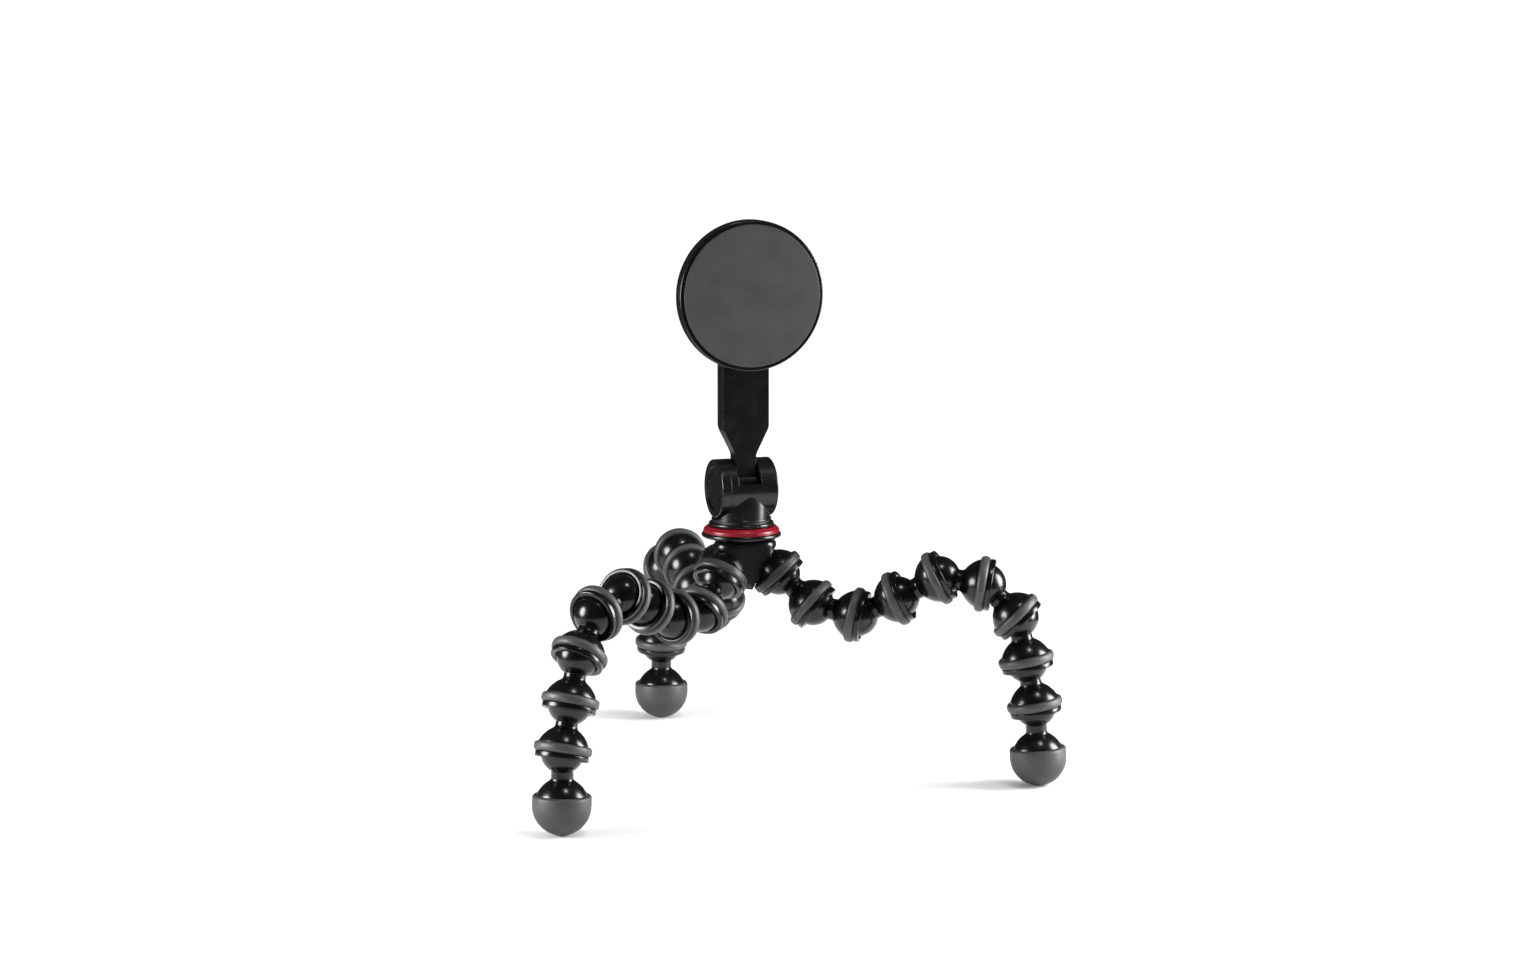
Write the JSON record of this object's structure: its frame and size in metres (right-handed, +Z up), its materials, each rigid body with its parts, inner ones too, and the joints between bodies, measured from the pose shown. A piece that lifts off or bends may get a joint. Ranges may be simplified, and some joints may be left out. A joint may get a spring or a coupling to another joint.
{
  "type": "flexible leg tripod",
  "caption": "Small flexible tripod: bendable legs of ball and socket links with rubber grip rings, under a head that pans and tilts a round magnetic holder",
  "frame": {"origin": "on the surface that the feet stand on, straight below the hub axis", "axes": "+Z up along the hub axis, +X to the right as seen from the front, +Y away from the front"},
  "size_m": [0.1947, 0.2285, 0.2111],
  "materials": {
    "black_plastic": "glossy moulded plastic",
    "satin_plastic": "satin moulded plastic",
    "grey_rubber": "matte rubber",
    "dark_silicone": "matte silicone",
    "red_plastic": "glossy red",
    "dark_nylon": "matte nylon",
    "zinc_steel": "zinc-plated steel",
    "spring_steel": "spring steel",
    "nickel_magnet": "nickel-plated magnet"
  },
  "bodies": {
    "hub": {"hub_shell": "black_plastic", "socket_grip_rings": "grey_rubber", "mounting_stud": "zinc_steel", "mounting_plate": "black_plastic", "plate_screws": "zinc_steel", "accent_ring": "red_plastic", "head_base": "satin_plastic", "pan_spigot": "zinc_steel", "pan_snap_ring": "spring_steel", "pan_washer": "dark_nylon"},
    "right_link_1": {"right_link_1": "black_plastic"},
    "right_link_2": {"right_link_2": "black_plastic"},
    "right_link_3": {"right_link_3": "black_plastic"},
    "right_link_4": {"right_link_4": "black_plastic"},
    "right_link_5": {"right_link_5": "black_plastic"},
    "right_link_6": {"right_link_6": "black_plastic"},
    "right_link_7": {"right_link_7": "black_plastic"},
    "right_link_8": {"right_link_8": "black_plastic"},
    "right_foot": {"right_foot_core": "black_plastic", "right_foot_pad": "grey_rubber"},
    "left_link_1": {"left_link_1": "black_plastic"},
    "left_link_2": {"left_link_2": "black_plastic"},
    "left_link_3": {"left_link_3": "black_plastic"},
    "left_link_4": {"left_link_4": "black_plastic"},
    "left_link_5": {"left_link_5": "black_plastic"},
    "left_link_6": {"left_link_6": "black_plastic"},
    "left_link_7": {"left_link_7": "black_plastic"},
    "left_link_8": {"left_link_8": "black_plastic"},
    "left_foot": {"left_foot_core": "black_plastic", "left_foot_pad": "grey_rubber"},
    "rear_link_1": {"rear_link_1": "black_plastic"},
    "rear_link_2": {"rear_link_2": "black_plastic"},
    "rear_link_3": {"rear_link_3": "black_plastic"},
    "rear_link_4": {"rear_link_4": "black_plastic"},
    "rear_link_5": {"rear_link_5": "black_plastic"},
    "rear_link_6": {"rear_link_6": "black_plastic"},
    "rear_link_7": {"rear_link_7": "black_plastic"},
    "rear_link_8": {"rear_link_8": "black_plastic"},
    "rear_foot": {"rear_foot_core": "black_plastic", "rear_foot_pad": "grey_rubber"},
    "pan_head": {"head_body": "satin_plastic", "tilt_nut": "zinc_steel", "barrel_end_cap": "satin_plastic"},
    "lock_knob": {"tilt_lock_knob": "satin_plastic", "tilt_bolt": "zinc_steel"},
    "holder": {"tilt_arm": "satin_plastic", "tilt_washers": "dark_nylon", "arm_screws": "zinc_steel", "holder_back_shell": "satin_plastic", "yoke_ring": "zinc_steel", "magnet_segments": "nickel_magnet", "holder_cover": "satin_plastic", "face_pad": "dark_silicone"}
  },
  "joints": [
    {"name": "right_ball_1", "type": "hinge", "parent": "hub", "child": "right_link_1", "pos_m": [0.01417, -0.00099, 0.07741], "axis": [0.0698, 0.9976, 0], "range_deg": [-31, 46]},
    {"name": "right_ball_2", "type": "hinge", "parent": "right_link_1", "child": "right_link_2", "pos_m": [0.02695, -0.00418, 0.06635], "axis": [-0.0698, -0.9976, 0], "range_deg": [-68, 12]},
    {"name": "right_ball_3", "type": "hinge", "parent": "right_link_2", "child": "right_link_3", "pos_m": [0.04341, -0.00768, 0.06277], "axis": [0.0698, 0.9976, 0], "range_deg": [-2, 77]},
    {"name": "right_ball_4", "type": "hinge", "parent": "right_link_3", "child": "right_link_4", "pos_m": [0.05876, -0.01038, 0.07004], "axis": [-0.0698, -0.9976, 0], "range_deg": [-42, 37]},
    {"name": "right_ball_5", "type": "hinge", "parent": "right_link_4", "child": "right_link_5", "pos_m": [0.07383, -0.01223, 0.07812], "axis": [0.0698, 0.9976, 0], "range_deg": [-76, 3]},
    {"name": "right_ball_6", "type": "hinge", "parent": "right_link_5", "child": "right_link_6", "pos_m": [0.09077, -0.01401, 0.07572], "axis": [-0.0698, -0.9976, 0], "range_deg": [-3, 77]},
    {"name": "right_ball_7", "type": "hinge", "parent": "right_link_6", "child": "right_link_7", "pos_m": [0.10287, -0.01529, 0.06356], "axis": [0.0698, 0.9976, 0], "range_deg": [-72, 7]},
    {"name": "right_ball_8", "type": "hinge", "parent": "right_link_7", "child": "right_link_8", "pos_m": [0.10642, -0.01566, 0.04674], "axis": [-0.0698, -0.9976, 0], "range_deg": [-39, 40]},
    {"name": "right_ball_9", "type": "hinge", "parent": "right_link_8", "child": "right_foot", "pos_m": [0.10969, -0.01595, 0.02985], "axis": [0.0698, 0.9976, 0], "range_deg": [-46, 33]},
    {"name": "left_ball_1", "type": "hinge", "parent": "hub", "child": "left_link_1", "pos_m": [-0.00794, -0.01177, 0.07741], "axis": [0.829, -0.5592, 0], "range_deg": [-26, 52]},
    {"name": "left_ball_2", "type": "hinge", "parent": "left_link_1", "child": "left_link_2", "pos_m": [-0.01477, -0.0241, 0.06754], "axis": [-0.829, 0.5592, 0], "range_deg": [-74, 4]},
    {"name": "left_ball_3", "type": "hinge", "parent": "left_link_2", "child": "left_link_3", "pos_m": [-0.02439, -0.03835, 0.06754], "axis": [0.829, -0.5592, 0], "range_deg": [-17, 61]},
    {"name": "left_ball_4", "type": "hinge", "parent": "left_link_3", "child": "left_link_4", "pos_m": [-0.03331, -0.05158, 0.07398], "axis": [-0.829, 0.5592, 0], "range_deg": [-38, 40]},
    {"name": "left_ball_5", "type": "hinge", "parent": "left_link_4", "child": "left_link_5", "pos_m": [-0.04158, -0.06534, 0.08015], "axis": [0.829, -0.5592, 0], "range_deg": [-74, 4]},
    {"name": "left_ball_6", "type": "hinge", "parent": "left_link_5", "child": "left_link_6", "pos_m": [-0.05091, -0.07918, 0.07599], "axis": [-0.829, 0.5592, 0], "range_deg": [-3, 76]},
    {"name": "left_ball_7", "type": "hinge", "parent": "left_link_6", "child": "left_link_7", "pos_m": [-0.05669, -0.08842, 0.06268], "axis": [0.829, -0.5592, 0], "range_deg": [-60, 19]},
    {"name": "left_ball_8", "type": "hinge", "parent": "left_link_7", "child": "left_link_8", "pos_m": [-0.05966, -0.09317, 0.04642], "axis": [-0.829, 0.5592, 0], "range_deg": [-37, 43]},
    {"name": "left_ball_9", "type": "hinge", "parent": "left_link_8", "child": "left_foot", "pos_m": [-0.06217, -0.09719, 0.02989], "axis": [0.829, -0.5592, 0], "range_deg": [-53, 26]},
    {"name": "rear_ball_1", "type": "hinge", "parent": "hub", "child": "rear_link_1", "pos_m": [-0.00622, 0.01276, 0.07741], "axis": [-0.8988, -0.4384, 0], "range_deg": [-45, 34]},
    {"name": "rear_ball_2", "type": "hinge", "parent": "rear_link_1", "child": "rear_link_2", "pos_m": [-0.00925, 0.02266, 0.06367], "axis": [0.8988, 0.4384, 0], "range_deg": [-74, 6]},
    {"name": "rear_ball_3", "type": "hinge", "parent": "rear_link_2", "child": "rear_link_3", "pos_m": [-0.01346, 0.03837, 0.05807], "axis": [-0.8988, -0.4384, 0], "range_deg": [-6, 75]},
    {"name": "rear_ball_4", "type": "hinge", "parent": "rear_link_3", "child": "rear_link_4", "pos_m": [-0.01748, 0.05449, 0.06252], "axis": [0.8988, 0.4384, 0], "range_deg": [-44, 36]},
    {"name": "rear_ball_5", "type": "hinge", "parent": "rear_link_4", "child": "rear_link_5", "pos_m": [-0.02141, 0.07027, 0.06812], "axis": [-0.8988, -0.4384, 0], "range_deg": [-51, 30]},
    {"name": "rear_ball_6", "type": "hinge", "parent": "rear_link_5", "child": "rear_link_6", "pos_m": [-0.02552, 0.08675, 0.07081], "axis": [0.8988, 0.4384, 0], "range_deg": [-1, 78]},
    {"name": "rear_ball_7", "type": "hinge", "parent": "rear_link_6", "child": "rear_link_7", "pos_m": [-0.03043, 0.10099, 0.06249], "axis": [-0.8988, -0.4384, 0], "range_deg": [-74, 4]},
    {"name": "rear_ball_8", "type": "hinge", "parent": "rear_link_7", "child": "rear_link_8", "pos_m": [-0.033, 0.10807, 0.04703], "axis": [0.8988, 0.4384, 0], "range_deg": [-19, 60]},
    {"name": "rear_ball_9", "type": "hinge", "parent": "rear_link_8", "child": "rear_foot", "pos_m": [-0.03357, 0.10946, 0.0299], "axis": [-0.8988, -0.4384, 0], "range_deg": [-44, 35]},
    {"name": "head_pan", "type": "hinge", "parent": "hub", "child": "pan_head", "pos_m": [0, 0, 0.09741], "axis": [0, 0, 1], "continuous": true},
    {"name": "head_tilt", "type": "hinge", "parent": "pan_head", "child": "holder", "pos_m": [0, 0, 0.11006], "axis": [0.9397, 0.342, 0], "range_deg": [-90, 45]},
    {"name": "lock_knob_turn", "type": "hinge", "parent": "pan_head", "child": "lock_knob", "pos_m": [0, 0, 0.11006], "axis": [0.9397, 0.342, 0], "range_deg": [-20, 160]}
  ]
}
